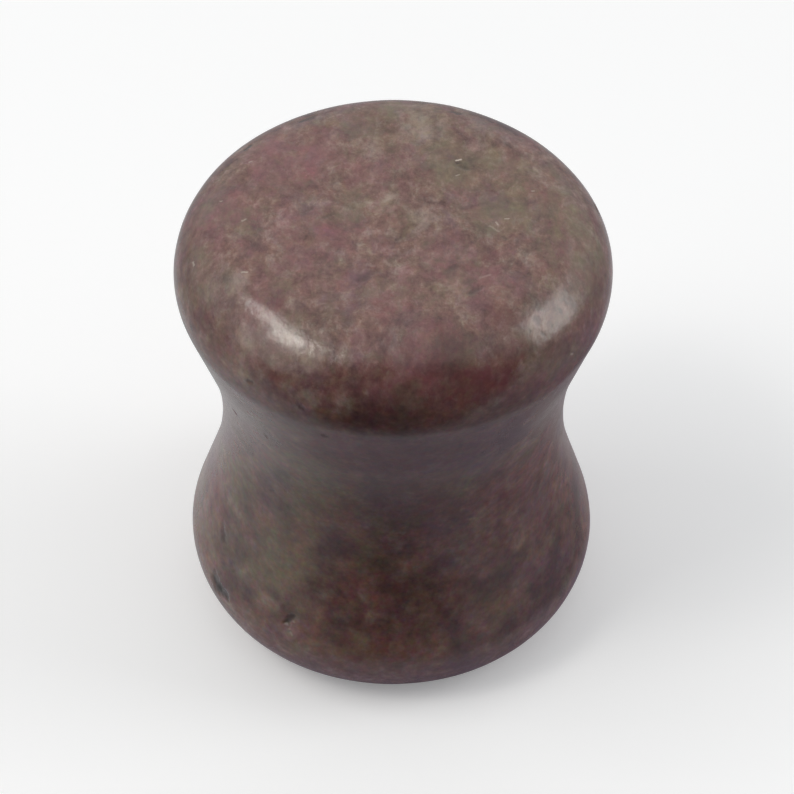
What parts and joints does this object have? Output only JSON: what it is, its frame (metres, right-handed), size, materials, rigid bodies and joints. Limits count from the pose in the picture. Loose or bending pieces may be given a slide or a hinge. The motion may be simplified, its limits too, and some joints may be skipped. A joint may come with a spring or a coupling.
{
  "type": "ear plug gauge",
  "caption": "Double-flared ear plug of polished mottled stone: round flat faces, soft rounded rims and a waisted saddle that a stretched earlobe closes on.",
  "frame": {"origin": "centre of the lower flat face, which it stands on", "axes": "+Z along the plug's own axis, from the lower face to the upper one; X and Y across the flares"},
  "size_m": [0.0122, 0.0122, 0.0144],
  "materials": {
    "polished_stone": "polished, mottled mauve, taupe and olive"
  },
  "bodies": {
    "root": {"stone_plug": "polished_stone"}
  },
  "joints": []
}
